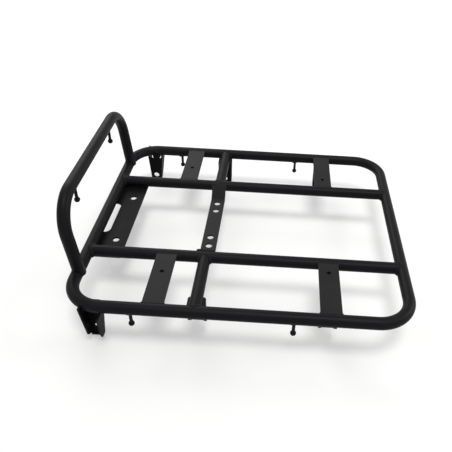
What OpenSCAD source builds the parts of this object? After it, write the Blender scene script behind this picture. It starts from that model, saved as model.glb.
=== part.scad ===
// Motorcycle luggage rack: a bent tube deck with two inner rails, an upright hoop at one end,
// flat tie plates, a dropped bridge strip and folded channels that bolt to the machine.
// The rack is drawn from the axis of its hoop-end tube. It is then moved so that the origin is
// midway between the end plate's bolt holes, on that plate's underside.
// +X runs along the deck away from the hoop, +Y to the far side and +Z up.

/* [Tubes] */
// Outside diameter of every tube
tube_d = 19; // [17:0.5:21]
// Wall thickness of every tube
tube_wall = 1.5; // [1:0.1:2.5]
// Centre-line radius of every tube bend
bend_r = 51; // [44:1:58]

/* [Deck] */
// Length of the deck between the axes of its end tubes
deck_l = 504; // [470:1:540]
// Width of the deck between the axes of its side tubes
deck_w = 444; // [420:1:480]
// Distance between the axes of the inner rails
rail_pitch = 206; // [190:1:220]
// Distance from the hoop-end tube to the cross tubes
cross_x = 188.9; // [175:0.1:205]

/* [Hoop] */
// Width of the hoop between the axes of its legs
hoop_w = 317.7; // [290:0.1:330]
// Height of the hoop's top bar above the deck, along the lean
hoop_h = 125.4; // [105:0.1:150]
// Lean of the hoop away from the deck, in degrees
hoop_lean = 4.9; // [0:0.1:8]
// Distance from the end tube's axis inward to the hoop's legs
hoop_inset = 4.7; // [3:0.1:6]
// How far the hoop's saddle-cut feet reach down the end tube
hoop_saddle = 6.5; // [4:0.1:8]

/* [Plates] */
// Thickness of every plate and folded channel
plate_t = 3; // [2:0.1:4]
// Inside radius of every fold in the plates
fold_r = 1.5; // [1:0.1:3]
// Width of the four tie plates
tie_w = 32; // [28:0.5:40]
// Distance from the hoop-end tube to the first pair of tie plates
tie_left_x = 129; // [110:0.5:140]
// Distance from the second pair of tie plates to the far end tube
tie_right_back = 118.6; // [104:0.1:144]
// How far the tie plates' top faces lie below the tubes' crowns
tie_sink = 1.5; // [0.5:0.1:3]
// Diameter of the screw hole in each tie plate
tie_hole_d = 6.6; // [5:0.1:8.4]
// Distance from the inner rail to the first pair's screw holes
tie_left_hole_y = 46.5; // [25:0.5:60]
// Distance from the inner rail to the second pair's screw holes
tie_right_hole_y = 28.8; // [25:0.1:60]
// Width across flats of the weld nuts
nut_af = 10; // [9:0.5:13]
// Height of the weld nuts
nut_h = 5; // [4:0.5:8]
// Core diameter of the weld nuts' thread
nut_core_d = 5; // [4:0.1:6]

/* [Bridge strip] */
// Width of the bridge strip
bridge_w = 25.4; // [20:0.1:30]
// Depth of the strip's flat top face below the tubes' axes
bridge_drop = 11.3; // [8:0.1:16]
// Slope of the strip's ends, in degrees
bridge_slope = 45; // [35:1:55]
// Spacing of the strip's outer bolt holes
bridge_outer_pitch = 121.2; // [110:0.1:126]
// Spacing of the strip's inner bolt holes
bridge_inner_pitch = 76.4; // [60:0.1:90]

/* [End plate] */
// Width of the end plate along the deck
end_plate_w = 60; // [54:1:70]
// How far the end plate reaches past the axes of the inner rails
end_plate_reach = 1; // [0:0.5:6]
// Distance from the end tube's axis to the end plate's bolt holes
end_hole_x = 32; // [28:0.5:36]
// Spacing of the end plate's bolt holes
end_hole_pitch = 121.6; // [110:0.1:130]
// Width of the end plate's slot
slot_w = 20; // [14:0.5:24]
// Overall length of the end plate's slot
slot_l = 85; // [60:1:100]
// Distance from the end tube's axis to the slot's middle
slot_x = 5.5; // [3:0.5:8]

/* [Bolt holes] */
// Diameter of the bolt holes in the legs, brackets, end plate and bridge strip
bolt_hole_d = 11; // [8.5:0.5:13]

/* [Corner legs] */
// Distance from the end tube's axis to the corner legs
leg_x = 25.4; // [20:0.1:32]
// Width of the corner legs at their shoulders
leg_w = 29.7; // [28:0.1:36]
// Slope of the corner legs' inner-end flange, in degrees
leg_slope_in = 4; // [0:0.1:5]
// Slope of the corner legs' outer-end flange, in degrees
leg_slope_out = 5.9; // [0:0.1:7]
// Gap between the side tube's underside and the corner legs' shoulders
leg_shoulder_gap = 3; // [2:0.1:5]
// Height of the corner legs below their shoulders
leg_h = 53; // [50:0.5:70]
// Distance from the corner legs' folded feet up to their bolt holes
leg_hole_up = 12.5; // [11:0.5:23]
// Distance from the corner legs' edge to their bolt holes and posts
leg_hole_x = 15.1; // [14:0.1:16]
// Width of the post that joins each corner leg to the side tube
leg_post_w = 13; // [8:0.5:15]
// Distance from the corner legs' edge to their posts
leg_post_x = 11.6; // [8:0.1:12]
// Height of the posts' tops above the tubes' axes
leg_post_top = 1; // [0.5:0.5:3]
// Reach of the hoop-side flange at its top
leg_reach_in = 24.5; // [21:0.1:30]
// Reach of the hoop-side flange at its lower corner
leg_tip_in = 19; // [12:0.1:22]
// Depth of that corner below the shoulders
leg_tip_in_drop = 43; // [30:0.5:48]
// Reach of the other flange at its top
leg_reach_out = 33.5; // [26:0.1:36]
// Reach of the other flange at its middle corner
leg_heel_out = 22; // [18:0.1:26]
// Depth of the middle corner below the shoulders
leg_heel_out_drop = 37.5; // [25:0.5:42]
// Reach of the other flange at its lowest corner
leg_tip_out = 15.4; // [8:0.1:18]
// Depth of the lowest corner below the shoulders
leg_tip_out_drop = 51.5; // [45:0.5:53]
// Height of the other flange's top above the side tube's underside
leg_outer_rise = 1.5; // [0:0.1:5]
// Height of the hooked flange top above the tubes' axes
leg_ear_h = 3; // [0:0.5:6]
// Width of the folded foot of the corner legs
leg_foot_w = 17; // [10:0.5:18]
// Length of that foot past its fold
leg_foot_l = 2; // [1:0.5:8]
// Fold of that foot away from the rack's middle, in degrees
leg_foot_fold = 90; // [70:1:90]

/* [Brackets] */
// Width of the four brackets
bracket_w = 27; // [26:0.1:30]
// Distance from the side tubes' axes in to the brackets' webs
bracket_inset = 33.5; // [27:0.1:52]
// Reach of the brackets' flanges at the top
bracket_reach = 24; // [16:0.1:26]
// Reach of the brackets' flanges at their lower corner
bracket_tip_reach = 15; // [10:0.1:20]
// Depth of that corner below the tubes' axes
bracket_tip_drop = 38; // [25:0.5:42]
// Depth of the brackets' lower edge below the tubes' axes
bracket_drop = 50; // [46:0.5:70]
// Depth of the brackets' bolt holes below the tubes' axes
bracket_hole_drop = 39.5; // [30:0.5:40]
// How far below the tubes' axes the cross tubes' brackets begin
mid_bracket_top = 3; // [1:0.5:6]

/* [Pegs] */
// Diameter of the pegs' stems
peg_d = 5; // [4:0.5:6]
// Diameter of the pegs' round heads
peg_head_d = 9; // [7:0.5:12]
// Diameter of the pegs' flared roots
peg_root_d = 8; // [7:0.5:10]
// Height of the pegs' flared roots
peg_root_h = 2; // [1:0.5:4]
// Length of a side-tube peg from the tube to the middle of its head
rail_peg_l = 21.5; // [16:0.5:30]
// Length of a hoop peg from the bar to the middle of its head
hoop_peg_l = 24; // [16:0.5:30]
// Distance from the hoop-end tube to the first pair of side-tube pegs
rail_peg_left_x = 96; // [85:1:110]
// Distance from the second pair of side-tube pegs to the second pair of tie plates
rail_peg_right_gap = 52.4; // [35:0.1:86]
// Distance between the two hoop pegs
hoop_peg_pitch = 182; // [140:1:200]

/* [Hidden] */
$fn = 96;

// Clearance between pieces before they are welded
fit_gap = 0.2;
// Length cut off the sharp tips of each saddle-cut tube end
cope_relief = 3;
// Margin by which a cutting solid runs past what it cuts, and overlapping parts of a piece meet
over = 1;
// Relief notch beyond each fold's end
fold_relief = 0.4;
// Number of steps in the outline of each fold
fold_steps = 8;

tube_r = tube_d / 2;
cut_d = tube_d + 2 * fit_gap;
side_y = deck_w / 2;
rail_y = rail_pitch / 2;
bracket_y = side_y - bracket_inset;
tie_right_x = deck_l - tie_right_back;
rail_peg_right_x = tie_right_x - rail_peg_right_gap;
fold_out_r = fold_r + plate_t;
tie_top = tube_r - tie_sink;
tie_under = tie_top - plate_t;
end_plate_top = -(tube_r + fit_gap);
datum_z = end_plate_top - plate_t;
leg_web_y = side_y - tube_r - 2 * fit_gap - plate_t;
leg_shoulder = -(tube_r + leg_shoulder_gap);
leg_fold_h = leg_h - fold_relief;

tube_black = "#26262a";
plate_black = "#323236";
peg_black = "#1c1c1f";

// Moves the rack from the hoop-end tube's axis to its datum
module at_datum() {
    translate([-end_hole_x, 0, -datum_z])
        children();
}

// Shows a far-side piece on the near side
module near_side() {
    mirror([0, 1, 0])
        children();
}

// Cross-section of a tube
module tube_section() {
    difference() {
        circle(d = tube_d);
        circle(d = tube_d - 2 * tube_wall);
    }
}

// Cross-section of the space that a piece leaves free for a tube
module cut_section() {
    circle(d = cut_d);
}

// Sweeps a section along X from x0 to x1
module along_x(x0, x1) {
    translate([x0, 0, 0])
        rotate([90, 0, 90])
            linear_extrude(x1 - x0)
                children();
}

// Sweeps a section along Y from y0 to y1
module along_y(y0, y1) {
    translate([0, y0, 0])
        rotate([-90, 0, 0])
            linear_extrude(y1 - y0)
                children();
}

// Sweeps a section round one quarter bend in the XY plane
module quarter_bend() {
    rotate_extrude(angle = 90)
        translate([bend_r, 0])
            children();
}

// Sweeps a section round the deck's closed loop
module deck_loop() {
    for (side = [-1, 1])
        translate([0, side * side_y, 0])
            along_x(bend_r, deck_l - bend_r)
                children();
    for (end = [0, deck_l])
        translate([end, 0, 0])
            along_y(bend_r - side_y, side_y - bend_r)
                children();
    for (turn = [0 : 3]) {
        corner_x = turn == 0 || turn == 3 ? deck_l - bend_r : bend_r;
        corner_y = turn < 2 ? side_y - bend_r : bend_r - side_y;
        translate([corner_x, corner_y, 0])
            rotate(90 * turn)
                quarter_bend()
                    children();
    }
}

// Places the hoop's own plane, where X is across the rack and Y goes up along the lean
module hoop_plane() {
    translate([hoop_inset, 0, 0])
        rotate([0, -hoop_lean, 0])
            rotate([90, 0, 90])
                children();
}

// Sweeps a section round the hoop, from foot to foot
module hoop_arch() {
    bend_x = hoop_w / 2 - bend_r;
    bend_y = hoop_h - bend_r;
    for (side = [-1, 1])
        translate([side * hoop_w / 2, 0, 0])
            along_y(tube_r - hoop_saddle, bend_y)
                children();
    translate([bend_x, bend_y, 0])
        quarter_bend()
            children();
    translate([-bend_x, bend_y, 0])
        rotate(90)
            quarter_bend()
                children();
    translate([0, hoop_h, 0])
        along_x(-bend_x, bend_x)
            children();
}

// Straight cutting cylinder for a tube that runs along X at one side
module cut_along_x(y) {
    translate([0, y, 0])
        along_x(-over, deck_l + over)
            cut_section();
}

// Straight cutting cylinder for a tube that runs along Y at one end
module cut_along_y(x) {
    translate([x, 0, 0])
        along_y(-side_y, side_y)
            cut_section();
}

// Points along an arc between two angles
function arc_points(centre, r, from, to) = [
    for (i = [0 : fold_steps])
        let (angle = from + (to - from) * i / fold_steps)
            centre + r * [cos(angle), sin(angle)]
];

// Outline of a sheet that bends about a centre from one angle to another and then runs straight
function bent_outline(centre, from, to, tail) =
    let (
        ray = [cos(to), sin(to)],
        run = sign(to - from) * tail * [-sin(to), cos(to)]
    )
    concat(
        arc_points(centre, fold_out_r, from, to),
        [centre + fold_out_r * ray + run, centre + fold_r * ray + run],
        arc_points(centre, fold_r, to, from)
    );

module perimeter_tube() {
    color(tube_black)
        deck_loop()
            tube_section();
}

module inner_rail() {
    color(tube_black)
        difference() {
            translate([0, rail_y, 0])
                along_x(cope_relief, deck_l - cope_relief)
                    tube_section();
            cut_along_y(0);
            cut_along_y(deck_l);
        }
}

module cross_tube() {
    color(tube_black)
        difference() {
            translate([cross_x, 0, 0])
                along_y(rail_y + cope_relief, side_y - cope_relief)
                    tube_section();
            cut_along_x(rail_y);
            cut_along_x(side_y);
        }
}

module hoop_tube() {
    color(tube_black)
        difference() {
            hoop_plane()
                hoop_arch()
                    tube_section();
            cut_along_y(0);
        }
}

// Half of the bridge strip's side profile, with its end lying on the inner rail
module bridge_profile() {
    bend_z = fold_r - bridge_drop;
    offset_to_rail = fold_out_r + tube_r + fit_gap;
    run = (offset_to_rail - cos(bridge_slope) * bend_z) / sin(bridge_slope);
    flat_y = rail_y - run;
    slope_l = cos(bridge_slope) * run - sin(bridge_slope) * bend_z - over;
    polygon(concat(
        [[-over, -bridge_drop - plate_t]],
        bent_outline([flat_y, bend_z], -90, bridge_slope - 90, slope_l),
        [[-over, -bridge_drop]]
    ));
}

module bridge_strip() {
    color(plate_black)
        difference() {
            for (turned = [0, 1])
                mirror([0, turned, 0])
                    translate([cross_x - bridge_w / 2, 0, 0])
                        rotate([90, 0, 90])
                            linear_extrude(bridge_w)
                                bridge_profile();
            for (y = [bridge_outer_pitch, bridge_inner_pitch])
                for (side = [-1, 1])
                    translate([cross_x, side * y / 2, -bridge_drop - plate_t - over])
                        cylinder(d = bolt_hole_d, h = plate_t + 2 * over);
        }
}

// Outline of the end plate's round-ended slot
module slot_outline() {
    straight = slot_l - slot_w;
    translate([-slot_w / 2, -straight / 2])
        square([slot_w, straight]);
    for (side = [-1, 1])
        translate([0, side * straight / 2])
            circle(d = slot_w);
}

module end_plate() {
    reach = rail_y + end_plate_reach;
    color(plate_black)
        translate([0, 0, end_plate_top - plate_t])
            linear_extrude(plate_t)
                difference() {
                    translate([-tube_r, -reach])
                        square([end_plate_w, 2 * reach]);
                    translate([slot_x, 0])
                        slot_outline();
                    for (side = [-1, 1])
                        translate([end_hole_x, side * end_hole_pitch / 2])
                            circle(d = bolt_hole_d);
                }
}

module tie_plate(x, hole_y) {
    color(plate_black)
        difference() {
            translate([x - tie_w / 2, rail_y, tie_under])
                cube([tie_w, side_y - rail_y, plate_t]);
            cut_along_x(rail_y);
            cut_along_x(side_y);
            translate([x, rail_y + hole_y, tie_under - over])
                cylinder(d = tie_hole_d, h = plate_t + 2 * over);
        }
}

// One side of a channel: a narrow strip of its web, the fold and the flange.
// The fold leans by the slope, and the outline gives the flange by reach and height.
module channel_side(slope, outline, low, high) {
    span = high - low;
    rotate([0, -slope, 0])
        intersection() {
            translate([0, 0, low - span])
                linear_extrude(3 * span)
                    polygon(concat(
                        [[fold_out_r + 2 * over, 0]],
                        bent_outline([fold_out_r, fold_out_r], 270, 180, span),
                        [[fold_out_r + 2 * over, plate_t]]
                    ));
            translate([-over, 0, 0])
                rotate([90, 0, 90])
                    linear_extrude(span)
                        polygon(outline);
        }
}

// Cutting box as deep as a channel's folds, which ends its web and folds level
module channel_end(x0, x1, z0, z1) {
    translate([x0, -over, z0])
        cube([x1 - x0, fold_out_r + over + fold_relief, z1 - z0]);
}

// Edges of a corner leg's web at a height above its shoulders
function leg_web_in(z) = fold_out_r / cos(leg_slope_in) + over - z * tan(leg_slope_in);
function leg_web_out(z) = leg_w - fold_out_r / cos(leg_slope_out) - over + z * tan(leg_slope_out);

// Sheet of a corner leg's web between its folds, taller than the leg
module leg_web() {
    translate([0, plate_t, 0])
        rotate([90, 0, 0])
            linear_extrude(plate_t)
                polygon([
                    [leg_web_in(-2 * leg_h), -2 * leg_h],
                    [leg_web_in(leg_h), leg_h],
                    [leg_web_out(leg_h), leg_h],
                    [leg_web_out(-2 * leg_h), -2 * leg_h]
                ]);
}

// Foot of a corner leg: a tongue of the web below the folds' ends, folded out over its full width
module leg_foot() {
    tongue_in = leg_web_in(-leg_h) + fold_relief;
    tongue_out = leg_web_out(-leg_h) - fold_relief;
    translate([tongue_in, 0, -leg_h])
        cube([tongue_out - tongue_in, plate_t, fold_relief + over]);
    translate([leg_h * tan(leg_slope_in), fold_out_r, -leg_h])
        rotate([90, 0, 90])
            linear_extrude(leg_foot_w)
                polygon(bent_outline([0, 0], 180, 180 + leg_foot_fold, leg_foot_l));
}

module corner_leg() {
    inner_outline = [
        [-over, leg_ear_h - leg_shoulder],
        [leg_reach_in, leg_ear_h - leg_shoulder],
        [leg_tip_in, -leg_tip_in_drop],
        [fold_out_r, -leg_fold_h],
        [-over, -leg_fold_h - fold_out_r]
    ];
    outer_outline = [
        [-over, leg_shoulder_gap + leg_outer_rise],
        [leg_reach_out, leg_shoulder_gap + leg_outer_rise],
        [leg_heel_out, -leg_heel_out_drop],
        [leg_tip_out, -leg_tip_out_drop],
        [fold_out_r, -leg_fold_h],
        [-over, -leg_fold_h - fold_out_r]
    ];
    post_top = leg_post_top - leg_shoulder;
    color(plate_black)
        difference() {
            translate([leg_x, leg_web_y, leg_shoulder]) {
                difference() {
                    union() {
                        channel_side(leg_slope_in, inner_outline, -leg_fold_h, 0);
                        translate([leg_w, 0, 0])
                            mirror([1, 0, 0])
                                channel_side(leg_slope_out, outer_outline, -leg_fold_h, 0);
                        leg_web();
                    }
                    channel_end(-leg_h, 2 * leg_h, -3 * leg_h, -leg_fold_h);
                    channel_end(-leg_h, 2 * leg_h, post_top, 2 * leg_h);
                    channel_end(-leg_h, leg_post_x, 0, 2 * leg_h);
                    channel_end(leg_post_x + leg_post_w, 2 * leg_h, 0, 2 * leg_h);
                    translate([leg_hole_x, -over, leg_hole_up - leg_h])
                        rotate([-90, 0, 0])
                            cylinder(d = bolt_hole_d, h = plate_t + 2 * over);
                }
                leg_foot();
            }
            deck_loop()
                cut_section();
        }
}

// Channel bracket whose top edge is at the given height
module bracket(x, top) {
    outline = [
        [-over, top],
        [bracket_reach, top],
        [bracket_tip_reach, -bracket_tip_drop],
        [fold_out_r, -bracket_drop],
        [-over, -bracket_drop - fold_out_r]
    ];
    color(plate_black)
        difference() {
            translate([x - bracket_w / 2, bracket_y, 0])
                difference() {
                    union() {
                        for (turned = [0, 1])
                            translate([turned * bracket_w, 0, 0])
                                mirror([turned, 0, 0])
                                    channel_side(0, outline, -bracket_drop, top);
                        translate([fold_out_r + over, 0, -2 * bracket_drop])
                            cube([bracket_w - 2 * (fold_out_r + over), plate_t, 4 * bracket_drop]);
                    }
                    channel_end(-over, bracket_w + over, -3 * bracket_drop, -bracket_drop);
                    channel_end(-over, bracket_w + over, top, 3 * bracket_drop);
                }
            translate([x, bracket_y - over, -bracket_hole_drop])
                rotate([-90, 0, 0])
                    cylinder(d = bolt_hole_d, h = plate_t + 2 * over);
            translate([cross_x, 0, 0])
                along_y(rail_y, side_y)
                    cut_section();
            cut_along_x(side_y);
        }
}

// Peg hanging from a tube whose axis passes through the origin along Z's normal
module peg(length) {
    head_z = -(tube_r + length);
    color(peg_black) {
        translate([0, 0, head_z])
            sphere(d = peg_head_d);
        difference() {
            union() {
                translate([0, 0, head_z])
                    cylinder(d = peg_d, h = length + tube_r / 2);
                translate([0, 0, -tube_r - peg_root_h])
                    cylinder(d1 = peg_d, d2 = peg_root_d, h = peg_root_h);
                translate([0, 0, -tube_r])
                    cylinder(d = peg_root_d, h = tube_r / 2);
            }
            children();
        }
    }
}

module rail_peg(x) {
    translate([x, side_y, 0])
        peg(rail_peg_l)
            along_x(-peg_root_d, peg_root_d)
                cut_section();
}

module hoop_peg() {
    bar_x = hoop_inset - hoop_h * sin(hoop_lean);
    bar_z = hoop_h * cos(hoop_lean);
    translate([bar_x, hoop_peg_pitch / 2, bar_z])
        peg(hoop_peg_l)
            along_y(-peg_root_d, peg_root_d)
                cut_section();
}

module weld_nut(x, y) {
    translate([x, y, tie_under - fit_gap - nut_h])
        difference() {
            cylinder(d = nut_af / cos(30), h = nut_h, $fn = 6);
            translate([0, 0, -over])
                cylinder(d = nut_core_d, h = nut_h + 2 * over);
        }
}

module weld_nuts() {
    color(peg_black)
        for (side = [-1, 1]) {
            weld_nut(tie_left_x, side * (rail_y + tie_left_hole_y));
            weld_nut(tie_right_x, side * (rail_y + tie_right_hole_y));
        }
}

at_datum() perimeter_tube();
at_datum() near_side() inner_rail();  // inner_rail_near
at_datum() inner_rail();  // inner_rail_far
at_datum() near_side() cross_tube();  // cross_tube_near
at_datum() cross_tube();  // cross_tube_far
at_datum() hoop_tube();
at_datum() bridge_strip();
at_datum() end_plate();
at_datum() near_side() tie_plate(tie_left_x, tie_left_hole_y);  // tie_plate_left_near
at_datum() tie_plate(tie_left_x, tie_left_hole_y);  // tie_plate_left_far
at_datum() near_side() tie_plate(tie_right_x, tie_right_hole_y);  // tie_plate_right_near
at_datum() tie_plate(tie_right_x, tie_right_hole_y);  // tie_plate_right_far
at_datum() near_side() corner_leg();  // corner_leg_near
at_datum() corner_leg();  // corner_leg_far
at_datum() near_side() bracket(cross_x, -mid_bracket_top);  // mid_bracket_near
at_datum() bracket(cross_x, -mid_bracket_top);  // mid_bracket_far
at_datum() near_side() bracket(tie_right_x, tie_under - fit_gap);  // right_bracket_near
at_datum() bracket(tie_right_x, tie_under - fit_gap);  // right_bracket_far
at_datum() near_side() rail_peg(rail_peg_left_x);  // rail_peg_left_near
at_datum() rail_peg(rail_peg_left_x);  // rail_peg_left_far
at_datum() near_side() rail_peg(rail_peg_right_x);  // rail_peg_right_near
at_datum() rail_peg(rail_peg_right_x);  // rail_peg_right_far
at_datum() near_side() hoop_peg();  // hoop_peg_near
at_datum() hoop_peg();  // hoop_peg_far
at_datum() weld_nuts();
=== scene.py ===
"""Looks of the welded luggage rack: powder coat, rounded plate edges and weld beads."""
import math

import bmesh
import bpy
from mathutils import Matrix, Vector


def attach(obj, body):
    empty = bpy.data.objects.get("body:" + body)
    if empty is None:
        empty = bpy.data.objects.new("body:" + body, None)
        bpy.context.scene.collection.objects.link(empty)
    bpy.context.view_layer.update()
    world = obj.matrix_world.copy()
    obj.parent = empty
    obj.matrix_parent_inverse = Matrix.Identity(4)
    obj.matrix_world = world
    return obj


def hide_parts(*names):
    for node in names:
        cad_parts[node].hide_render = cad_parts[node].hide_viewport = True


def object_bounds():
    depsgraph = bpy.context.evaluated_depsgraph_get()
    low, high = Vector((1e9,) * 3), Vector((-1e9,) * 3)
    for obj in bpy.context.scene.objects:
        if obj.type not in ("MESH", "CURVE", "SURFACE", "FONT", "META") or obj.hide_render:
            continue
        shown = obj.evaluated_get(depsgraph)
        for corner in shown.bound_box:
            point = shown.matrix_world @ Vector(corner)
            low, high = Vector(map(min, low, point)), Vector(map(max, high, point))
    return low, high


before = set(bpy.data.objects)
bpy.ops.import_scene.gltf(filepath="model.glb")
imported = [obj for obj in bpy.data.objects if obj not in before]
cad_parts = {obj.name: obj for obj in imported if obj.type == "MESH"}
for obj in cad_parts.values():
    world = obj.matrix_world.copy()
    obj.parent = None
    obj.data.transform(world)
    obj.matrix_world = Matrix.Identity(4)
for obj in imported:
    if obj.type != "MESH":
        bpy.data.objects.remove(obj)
cad_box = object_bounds()

MM = 0.001
TUBE_R = 9.5
SIDE_Y = 222.0
RAIL_Y = 103.0
FAR_X = 504.0
CROSS_X = 188.9
BEND_R = 51.0
END_HOLE_X = 32.0
DATUM_Z = -12.7
HOOP_W = 317.7
HOOP_H = 125.4
HOOP_LEAN = math.radians(4.9)
HOOP_INSET = 4.7
HOOP_FOOT = 3.0
TIE_W = 32.0
TIE_X = (129.0, 385.4)
TIE_TOP = 8.0
TIE_UNDER = 5.0
PLATE_T = 3.0
BRIDGE_W = 25.4
PLATE_TOP = -9.7
LEG_X = 25.4
LEG_W = 29.7
LEG_WEB_Y = 209.1
POST_X = (37.0, 50.0)
POST_TOP = 1.0
BRACKET_W = 27.0
BRACKET_Y = 188.5
PEG_X = (96.0, 333.0)
HOOP_PEG_Y = 91.0
FLOOR_GAP = 0.0006
FLOOR_HALF = 6.0


def new_object(name, data):
    """An object with some data, in the scene."""
    made = bpy.data.objects.new(name, data)
    bpy.context.scene.collection.objects.link(made)
    return made


def spot(x, y, z):
    """A place given in millimetres from the axis of the hoop-end tube, in the frame's metres."""
    return Vector(((x - END_HOLE_X) * MM, y * MM, (z - DATUM_Z) * MM))


# ---------------------------------------------------------------- materials

class Value:
    """A number socket that takes part in Python sums."""

    def __init__(self, finish, socket):
        self.finish, self.socket = finish, socket

    def _sum(self, operation, other):
        return self.finish.node("ShaderNodeMath", {"operation": operation}, {0: self, 1: other})

    def __add__(self, other):
        return self._sum("ADD", other)

    __radd__ = __add__

    def __mul__(self, other):
        return self._sum("MULTIPLY", other)


class Finish:
    """A node material, built node by node."""

    def __init__(self, name):
        self.material = bpy.data.materials.new(name)
        self.material.use_nodes = True
        self.tree = self.material.node_tree
        self.tree.nodes.clear()

    def node(self, kind, settings=None, inputs=None, output=0):
        made = self.tree.nodes.new(kind)
        for name, value in (settings or {}).items():
            if name == "stops":
                ramp = made.color_ramp
                while len(ramp.elements) < len(value):
                    ramp.elements.new(0.5)
                for element, (place, colour) in zip(ramp.elements, value):
                    element.position = place
                    element.color = (*colour, 1)
            else:
                setattr(made, name, value)
        for name, value in (inputs or {}).items():
            socket = made.inputs[name]
            if isinstance(value, Value):
                self.tree.links.new(value.socket, socket)
            else:
                socket.default_value = value
        return Value(self, made.outputs[output]) if len(made.outputs) else None

    def end(self, shader):
        self.node("ShaderNodeOutputMaterial", None, {"Surface": shader})
        return self.material


def powder_coat(name, deep, pale, roughness, grain, shine):
    """Satin black powder coat: fine orange peel, a faint speckle and slow changes of sheen."""
    coat = Finish(name)
    place = coat.node("ShaderNodeTexCoord", output="Object")

    def noise(**values):
        return coat.node("ShaderNodeTexNoise", None, {"Vector": place, **values})

    drift = noise(Scale=14.0, Detail=3.0, Roughness=0.6)
    speck = noise(Scale=1900.0, Detail=2.0)
    peel = noise(Scale=grain, Detail=2.5, Roughness=0.55)
    colour = coat.node(
        "ShaderNodeValToRGB",
        {"stops": [(0.3, deep), (0.7, pale)]},
        {"Fac": drift * 0.55 + speck * 0.45},
    )
    height = peel * 0.75 + speck * 0.25
    bump = coat.node(
        "ShaderNodeBump", None, {"Strength": 0.35, "Distance": 0.00012, "Height": height}
    )
    shader = coat.node(
        "ShaderNodeBsdfPrincipled",
        None,
        {
            "Base Color": colour,
            "Roughness": roughness - 0.06 + drift * 0.08 + speck * 0.06,
            "Specular IOR Level": shine,
            "Normal": bump,
        },
    )
    return coat.end(shader)


# Each coat's deep and pale colour, roughness, grain of its orange peel and shine.
COATS = {
    slot: powder_coat(name, *values)
    for slot, name, *values in (
        ("tube_coat", "tube_powder_coat",
         (0.004, 0.004, 0.005), (0.008, 0.008, 0.009), 0.42, 700.0, 0.06),
        ("plate_coat", "plate_powder_coat",
         (0.009, 0.009, 0.0095), (0.016, 0.0155, 0.015), 0.46, 620.0, 0.065),
        ("peg_coat", "peg_powder_coat",
         (0.005, 0.005, 0.006), (0.009, 0.009, 0.010), 0.42, 800.0, 0.065),
        ("weld_coat", "weld_powder_coat",
         (0.006, 0.006, 0.007), (0.011, 0.011, 0.012), 0.42, 500.0, 0.065),
        # Darker than the plate coat, with less shine: painted shade for the folded legs and
        # brackets, whose webs hang in shade under the deck
        ("fold_coat", "folded_channel_powder_coat",
         (0.003, 0.003, 0.0035), (0.006, 0.006, 0.006), 0.5, 620.0, 0.03),
        # Darker than the plate coat: painted shade for the end plate, which lies in shade below
        # the tubes at the hoop end
        ("end_coat", "end_plate_powder_coat",
         (0.003, 0.003, 0.0035), (0.007, 0.007, 0.007), 0.46, 620.0, 0.045),
        ("nut_coat", "nut_powder_coat",
         (0.005, 0.005, 0.006), (0.009, 0.009, 0.010), 0.42, 900.0, 0.065),
    )
}


# ---------------------------------------------------------------- shapes

def plain_mesh(name, source):
    """The finished shape of an object as a mesh object without modifiers."""
    seen = bpy.context.evaluated_depsgraph_get()
    mesh = bpy.data.meshes.new_from_object(source.evaluated_get(seen), depsgraph=seen)
    mesh.name = name
    return new_object(name, mesh)


def remove(obj):
    data = obj.data
    bpy.data.objects.remove(obj)
    if isinstance(data, bpy.types.Mesh):
        bpy.data.meshes.remove(data)
    elif isinstance(data, bpy.types.Curve):
        bpy.data.curves.remove(data)


def soften(node, width, coat):
    """A copy of a cut or folded piece with the coat's rounded edges, in that piece's place."""
    sheet = bmesh.new()
    sheet.from_mesh(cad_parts[node].data)
    bmesh.ops.remove_doubles(sheet, verts=sheet.verts, dist=1e-6)
    bmesh.ops.dissolve_limit(
        sheet, angle_limit=math.radians(0.6), verts=sheet.verts, edges=sheet.edges
    )
    mesh = bpy.data.meshes.new(node + "_blank")
    sheet.to_mesh(mesh)
    sheet.free()
    mesh.polygons.foreach_set("use_smooth", [True] * len(mesh.polygons))
    blank = new_object(node + "_blank", mesh)
    bevel = blank.modifiers.new("rounded_edges", "BEVEL")
    bevel.width = width * MM
    bevel.segments = 2
    bevel.limit_method = "ANGLE"
    bevel.angle_limit = math.radians(30)
    shading = blank.modifiers.new("flat_faces", "WEIGHTED_NORMAL")
    shading.weight = 100
    shading.thresh = 0.01
    bpy.context.view_layer.update()
    made = plain_mesh(node + "_coated", blank)
    remove(blank)
    made.data.materials.clear()
    made.data.materials.append(COATS[coat])
    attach(made, "root")
    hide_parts(node)


# ---------------------------------------------------------------- weld beads

def socket_id(tree, name):
    """The identifier of one of a node tree's named inputs."""
    return next(
        item.identifier
        for item in tree.interface.items_tree
        if item.name == name and item.in_out == "INPUT"
    )


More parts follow.
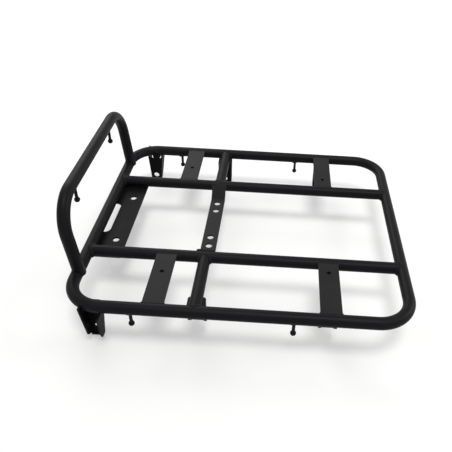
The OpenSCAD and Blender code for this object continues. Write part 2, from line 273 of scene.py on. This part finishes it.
def weld_tree():
    """Geometry Nodes: a bead along each seam, made of a core and overlapping ripples."""
    tree = bpy.data.node_groups.new("weld_bead", "GeometryNodeTree")
    face = tree.interface
    face.new_socket("Seam", in_out="INPUT", socket_type="NodeSocketGeometry")
    for name, kind, value in (
        ("Bead Radius", "NodeSocketFloat", 0.0022),
        ("Ripple Pitch", "NodeSocketFloat", 0.0015),
        ("Unevenness", "NodeSocketFloat", 0.1),
        ("Seed", "NodeSocketInt", 1),
    ):
        face.new_socket(name, in_out="INPUT", socket_type=kind).default_value = value
    face.new_socket("Coat", in_out="INPUT", socket_type="NodeSocketMaterial")
    face.new_socket("Bead", in_out="OUTPUT", socket_type="NodeSocketGeometry")

    def node(kind, settings=None, inputs=None):
        made = tree.nodes.new(kind)
        for name, value in (settings or {}).items():
            setattr(made, name, value)
        for name, value in (inputs or {}).items():
            if isinstance(value, bpy.types.NodeSocket):
                tree.links.new(value, made.inputs[name])
            else:
                made.inputs[name].default_value = value
        return made

    def math_node(operation, first, second):
        return node("ShaderNodeMath", {"operation": operation}, {0: first, 1: second}).outputs[0]

    given = node("NodeGroupInput").outputs
    swell = node("GeometryNodeInputRadius").outputs[0]
    low = math_node("SUBTRACT", 1.0, given["Unevenness"])
    high = math_node("ADD", 1.0, given["Unevenness"])
    fine = node("GeometryNodeResampleCurve", {"mode": "LENGTH"},
                {"Curve": given["Seam"], "Length": given["Ripple Pitch"]}).outputs[0]
    ring = node("GeometryNodeCurvePrimitiveCircle", {"mode": "RADIUS"},
                {"Resolution": 10, "Radius": given["Bead Radius"]}).outputs[0]
    core_scale = math_node("MULTIPLY", swell, 0.84)
    core = node(
        "GeometryNodeCurveToMesh",
        None,
        {"Curve": fine, "Profile Curve": ring, "Scale": core_scale, "Fill Caps": True},
    ).outputs[0]
    drop = node(
        "GeometryNodeMeshUVSphere", None, {"Segments": 12, "Rings": 7, "Radius": 1.0}
    ).outputs[0]
    turn = node("FunctionNodeAlignRotationToVector", {"axis": "Z"},
                {"Vector": node("GeometryNodeInputTangent").outputs[0]}).outputs[0]
    chance = node("FunctionNodeRandomValue", {"data_type": "FLOAT"},
                  {2: low, 3: high, "Seed": given["Seed"]}).outputs[1]
    across = math_node("MULTIPLY", given["Bead Radius"], chance)
    across = math_node("MULTIPLY", across, swell)
    along = math_node("MULTIPLY", given["Ripple Pitch"], 1.15)
    size = node("ShaderNodeCombineXYZ", None, {0: across, 1: across, 2: along}).outputs[0]
    ripples = node("GeometryNodeInstanceOnPoints", None,
                   {"Points": fine, "Instance": drop, "Rotation": turn, "Scale": size}).outputs[0]
    both = node("GeometryNodeJoinGeometry")
    tree.links.new(core, both.inputs[0])
    tree.links.new(ripples, both.inputs[0])
    real = node("GeometryNodeRealizeInstances", None, {"Geometry": both.outputs[0]}).outputs[0]
    smooth = node("GeometryNodeSetShadeSmooth", None, {"Geometry": real}).outputs[0]
    coated = node(
        "GeometryNodeSetMaterial", None, {"Geometry": smooth, "Material": given["Coat"]}
    ).outputs[0]
    node("NodeGroupOutput", None, {"Bead": coated})
    return tree


WELD_TREE = weld_tree()


def lay_welds(name, seams, radius, pitch, seed):
    """Beads along seams as one mesh. A seam is a list of (place, swell), and if it's closed."""
    curve = bpy.data.curves.new(name + "_seams", "CURVE")
    curve.dimensions = "3D"
    for points, closed in seams:
        spline = curve.splines.new("POLY")
        spline.points.add(len(points) - 1)
        for point, (place, swell) in zip(spline.points, points):
            point.co = (*place, 1)
            point.radius = swell
        spline.use_cyclic_u = closed
    path = new_object(name + "_seams", curve)
    bead = path.modifiers.new("weld_bead", "NODES")
    bead.node_group = WELD_TREE
    for label, value in (
        ("Bead Radius", radius * MM),
        ("Ripple Pitch", pitch * MM),
        ("Unevenness", 0.09),
        ("Seed", seed),
        ("Coat", COATS["weld_coat"]),
    ):
        bead[socket_id(WELD_TREE, label)] = value
    bpy.context.view_layer.update()
    made = plain_mesh(name, path)
    remove(path)
    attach(made, "root")


def saddle(foot, direction, main_axis, main_point, least=None, steps=48):
    """Seam round a tube that stands on another tube of the same size.

    The tube runs from foot along direction. main_axis is 0 or 1, the axis that the other tube
    follows through main_point. least is the tube's cut end, measured from foot.
    """
    along = Vector(direction).normalized()
    side = Vector((0, 0, 0))
    side[main_axis] = 1.0
    up = along.cross(side).normalized()
    points = []
    for step in range(steps):
        angle = 2 * math.pi * step / steps
        out = math.cos(angle) * side + math.sin(angle) * up
        start = Vector(foot) + TUBE_R * out - Vector(main_point)
        start[main_axis] = 0.0
        run = along.copy()
        run[main_axis] = 0.0
        a, b, c = run.dot(run), start.dot(run), start.dot(start) - TUBE_R ** 2
        inside = b * b - a * c
        reach = (-b + math.sqrt(inside)) / a if inside > 0 else -b / a
        if least is not None:
            reach = max(reach, least)
        place = Vector(foot) + TUBE_R * out + reach * along
        normal = place - Vector(main_point)
        normal[main_axis] = 0.0
        normal = normal.normalized()
        open_angle = max(0.0, normal.dot(out))
        lift = 0.35 - 1.75 * open_angle
        towards = (normal + out).normalized()
        place = place + lift * towards
        points.append((spot(*place), 1.0))
    return points, True


def line(points, closed=False):
    """An even seam through some places."""
    return [(spot(*p), 1.0) for p in points], closed


def tube_depth(height):
    """How far a tube's wall stands out at a height above its axis."""
    return math.sqrt(TUBE_R ** 2 - height ** 2)


def plate_end(x, width, rail, side):
    """Seam round the end of a flat plate that meets the wall of a tube along X."""
    left, right = x - width / 2, x + width / 2
    top = rail + side * (tube_depth(TIE_TOP) + 0.2)
    under = rail + side * (tube_depth(TIE_UNDER) + 0.2)
    return line([
        (left, top, TIE_TOP - 0.6), (right, top, TIE_TOP - 0.6),
        (right, under, TIE_UNDER + 0.3), (left, under, TIE_UNDER + 0.3),
    ], closed=True)


def tube_welds():
    """Beads round the inner rails' and cross tubes' ends."""
    seams = []
    for near in (-1, 1):
        rail = near * RAIL_Y
        seams.append(saddle((0, rail, 0), (1, 0, 0), 1, (0, 0, 0), least=3.0))
        seams.append(saddle((FAR_X, rail, 0), (-1, 0, 0), 1, (FAR_X, 0, 0), least=3.0))
        seams.append(saddle((CROSS_X, rail, 0), (0, near, 0), 0, (0, rail, 0), least=3.0))
        side = near * SIDE_Y
        seams.append(saddle((CROSS_X, side, 0), (0, -near, 0), 0, (0, side, 0), least=3.0))
    lay_welds("tube_weld_beads", seams, 2.7, 1.2, 3)


def hoop_welds():
    """Beads round the hoop's feet."""
    lean = (-math.sin(HOOP_LEAN), 0, math.cos(HOOP_LEAN))
    seams = [
        saddle((HOOP_INSET, side * HOOP_W / 2, 0), lean, 1, (0, 0, 0), least=HOOP_FOOT)
        for side in (-1, 1)
    ]
    lay_welds("hoop_weld_beads", seams, 1.9, 1.3, 5)


def tie_welds():
    """Beads round both ends of each tie plate."""
    seams = []
    for near in (-1, 1):
        for x in TIE_X:
            seams.append(plate_end(x, TIE_W, near * RAIL_Y, near))
            seams.append(plate_end(x, TIE_W, near * SIDE_Y, -near))
    lay_welds("tie_plate_weld_beads", seams, 1.5, 1.3, 7)


def bridge_welds():
    """Beads round the bridge strip's ends, across the end and down both edges."""
    seams = []
    half = BRIDGE_W / 2 + 0.3
    slope = math.sqrt(0.5)
    outline = ((-half, 7.0), (-half, -0.6), (half, -0.6), (half, 7.0))
    for near in (-1, 1):
        seams.append(line([
            (
                CROSS_X + off,
                near * (RAIL_Y - slope * (TUBE_R + 1.8 + back)),
                slope * (TUBE_R - 0.2 - back),
            )
            for off, back in outline
        ]))
    lay_welds("bridge_weld_beads", seams, 2.0, 1.5, 11)


def end_plate_welds():
    """Beads between the end plate's top and the tubes that lie on it."""
    seams = []
    inner = 5.2
    height = PLATE_TOP + 0.6
    for near in (-1, 1):
        seams.append(line([(inner, near * 52, height), (inner, near * 96, height)]))
        seams.append(line([(-inner, near * 52, height), (-inner, near * 102, height)]))
        for first, last, across in ((12, 49, RAIL_Y - inner), (8, 50, RAIL_Y + 1.6)):
            seams.append(line([(first, near * across, height), (last, near * across, height)]))
    lay_welds("end_plate_weld_beads", seams, 1.7, 1.5, 13)


def torus_point(x, turn, near):
    """Underside of the side tube's bend in the plane x, at an angle round the tube."""
    ring = BEND_R + (TUBE_R + 0.4) * math.cos(turn)
    away = x - BEND_R
    if x < BEND_R:
        y = SIDE_Y - BEND_R + math.sqrt(ring ** 2 - away ** 2)
    else:
        y = SIDE_Y - BEND_R + ring
    return x, near * y, (TUBE_R + 0.4) * math.sin(turn)


def leg_welds():
    """Beads round the corner legs' posts and along their flanges' tops."""
    seams = []
    for near in (-1, 1):
        web = near * (LEG_WEB_Y + PLATE_T + 0.1)
        left, right = POST_X[0] - 0.2, POST_X[1] + 0.2
        seams.append(line([
            (left, web, -9.0), (left, web, POST_TOP), (right, web, POST_TOP), (right, web, -9.0),
        ]))
        for x, first, last in ((LEG_X + 2.6, -165, -40), (LEG_X + LEG_W - 2.4, -150, -40)):
            seams.append(line([
                torus_point(x, math.radians(first + (last - first) * i / 12), near)
                for i in range(13)
            ]))
    lay_welds("corner_leg_weld_beads", seams, 1.8, 1.5, 17)


def bracket_welds():
    """Beads that hold the mid brackets to the cross tubes and the right brackets to the plates."""
    seams = []
    ring = TUBE_R + 0.3
    under = TIE_UNDER - 0.6
    for near in (-1, 1):
        web = near * (BRACKET_Y + 1.5)
        seams.append(line([
            (CROSS_X + ring * math.sin(turn), web, -ring * math.cos(turn))
            for turn in (math.radians(degrees) for degrees in range(-70, 71, 10))
        ]))
        for side in (-1, 1):
            edge = CROSS_X + side * (TUBE_R + 0.6)
            seams.append(line([(edge, near * (BRACKET_Y + 3), -3.0), (edge, near * 211, -3.0)]))
            flange = TIE_X[1] + side * (BRACKET_W / 2 - 0.4)
            reach = (near * (BRACKET_Y + 5), near * 211)
            seams.append(line([(flange, across, under) for across in reach]))
        seams.append(line([
            (TIE_X[1] + side * (BRACKET_W / 2 - 5), near * (BRACKET_Y - 0.2), under)
            for side in (-1, 1)
        ]))
    lay_welds("bracket_weld_beads", seams, 1.5, 1.4, 19)


def peg_ring(x, y, z, along, radius, shift, steps=20):
    """Seam round a peg's root, on a tube that follows axis along (0 is X and 1 is Y)."""
    points = []
    for step in range(steps):
        angle = 2 * math.pi * step / steps
        over_x, over_y = radius * math.cos(angle) + shift, radius * math.sin(angle)
        across = over_y if along == 0 else over_x
        points.append((x + over_x, y + over_y, z - tube_depth(min(abs(across), 8.0)) - 0.1))
    return line(points, closed=True)


def peg_welds():
    """Beads round the roots of the side-tube pegs and the hoop pegs."""
    seams = []
    for near in (-1, 1):
        for x in PEG_X:
            seams.append(peg_ring(x, near * SIDE_Y, 0, 0, 4.3, -0.9))
        bar_x = HOOP_INSET - HOOP_H * math.sin(HOOP_LEAN)
        seams.append(peg_ring(bar_x, near * HOOP_PEG_Y, HOOP_H * math.cos(HOOP_LEAN), 1, 4.0, 0.0))
    lay_welds("peg_weld_beads", seams, 1.5, 1.3, 23)


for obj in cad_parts.values():
    for material_slot in obj.material_slots:
        material_slot.material = COATS[material_slot.material.name.split(".")[0]]

for name in sorted(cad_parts):
    if name.startswith(("corner_leg", "mid_bracket", "right_bracket")):
        # the folded pieces take the darker coat with painted shade
        soften(name, 0.4, "fold_coat")
    elif name == "end_plate":
        # the end plate takes the darker coat with painted shade
        soften(name, 0.4, "end_coat")
    elif name == "bridge_strip" or name.startswith("tie_plate"):
        soften(name, 0.4, "plate_coat")
soften("weld_nuts", 0.3, "nut_coat")

tube_welds()
hoop_welds()
tie_welds()
bridge_welds()
end_plate_welds()
leg_welds()
bracket_welds()
peg_welds()


# ---------------------------------------------------------------- floor, light and camera

def floor():
    """A pale floor just under the rack, which keeps its shadow."""
    white = Finish("pale_floor")
    seen = white.node("ShaderNodeLightPath", output="Is Camera Ray")
    gloss = white.node("ShaderNodeLightPath", output="Is Glossy Ray")
    clear = white.node("ShaderNodeLightPath", output="Is Transmission Ray")
    diffuse = white.node("ShaderNodeBsdfDiffuse", None, {"Color": (0.745, 0.74, 0.735, 1)})
    glow = white.node("ShaderNodeEmission", None, {"Color": (1, 1, 1, 1), "Strength": 1.0})
    share = (seen + gloss + clear) * 0.28
    mixed = white.node("ShaderNodeMixShader", None, {"Fac": share, 1: diffuse, 2: glow})
    mesh = bpy.data.meshes.new("studio_floor")
    height = cad_box[0].z - FLOOR_GAP
    corners = ((-1, -1), (1, -1), (1, 1), (-1, 1))
    mesh.from_pydata(
        [(x * FLOOR_HALF, y * FLOOR_HALF, height) for x, y in corners], [], [(0, 1, 2, 3)]
    )
    mesh.materials.append(white.end(mixed))
    new_object("studio_floor", mesh)


def lamp(name, place, aim, size, power):
    """A soft box at a place, turned to what it lights."""
    light = bpy.data.lights.new(name, "AREA")
    light.shape = "RECTANGLE"
    light.size, light.size_y = size
    light.energy = power
    made = new_object(name, light)
    made.location = place
    made.rotation_euler = (Vector(aim) - Vector(place)).to_track_quat("-Z", "Y").to_euler()


def overhead(tilt_x, tilt_y, spread, strength):
    """Wide even light from above, which lays the soft shadows under the tubes."""
    light = bpy.data.lights.new("overhead_light", "SUN")
    light.angle = math.radians(spread)
    light.energy = strength
    made = new_object("overhead_light", light)
    made.rotation_euler = Vector((-tilt_x, -tilt_y, -1)).to_track_quat("-Z", "Y").to_euler()


def surroundings():
    """White all round for the camera and reflections, and a softer level as light."""
    world = bpy.data.worlds.new("studio")
    bpy.context.scene.world = world
    world.use_nodes = True
    tree = world.node_tree
    back = tree.nodes["Background"]
    back.inputs["Color"].default_value = (1, 1, 1, 1)
    rays = tree.nodes.new("ShaderNodeLightPath")
    total = rays.outputs["Is Camera Ray"]
    for name in ("Is Glossy Ray", "Is Transmission Ray"):
        added = tree.nodes.new("ShaderNodeMath")
        added.operation = "ADD"
        tree.links.new(total, added.inputs[0])
        tree.links.new(rays.outputs[name], added.inputs[1])
        total = added.outputs[0]
    strength = tree.nodes.new("ShaderNodeMapRange")
    strength.inputs["To Min"].default_value = 0.58
    strength.inputs["To Max"].default_value = 1.0
    tree.links.new(total, strength.inputs["Value"])
    tree.links.new(strength.outputs[0], back.inputs["Strength"])


def camera():
    """The photograph's view: azimuth, elevation and roll, aim, distance and lens."""
    azimuth, elevation, roll = (math.radians(degrees) for degrees in (1.2545, 37.289, 2.549))
    distance = 0.94403
    back = Vector((
        math.sin(azimuth) * math.cos(elevation),
        -math.cos(azimuth) * math.cos(elevation),
        math.sin(elevation),
    ))
    made = new_object("camera", bpy.data.cameras.new("camera"))
    made.data.sensor_width = 36.0
    made.data.lens = 42.422
    made.data.shift_x = -0.0841
    made.data.shift_y = -0.0184
    made.data.clip_start = 0.01
    made.data.clip_end = 50.0
    aim = Vector((0.24609, 0.010154, 0.0127))
    made.matrix_world = (
        Matrix.Translation(aim + distance * back)
        @ Matrix.Rotation(azimuth, 4, "Z")
        @ Matrix.Rotation(math.pi / 2 - elevation, 4, "X")
        @ Matrix.Rotation(roll, 4, "Z")
    )
    bpy.context.scene.camera = made


floor()
surroundings()
overhead(0.1, -0.2, 21.0, 1.7)
lamp("back_light", (-0.65, 1.6, 1.4), (0.2, 0.0, 0.0), (1.4, 1.3), 23.0)
lamp("right_light", (2.0, 0.3, 0.9), (0.3, 0.0, 0.0), (1.0, 0.9), 16.0)
camera()
bpy.context.scene.view_settings.view_transform = "Standard"
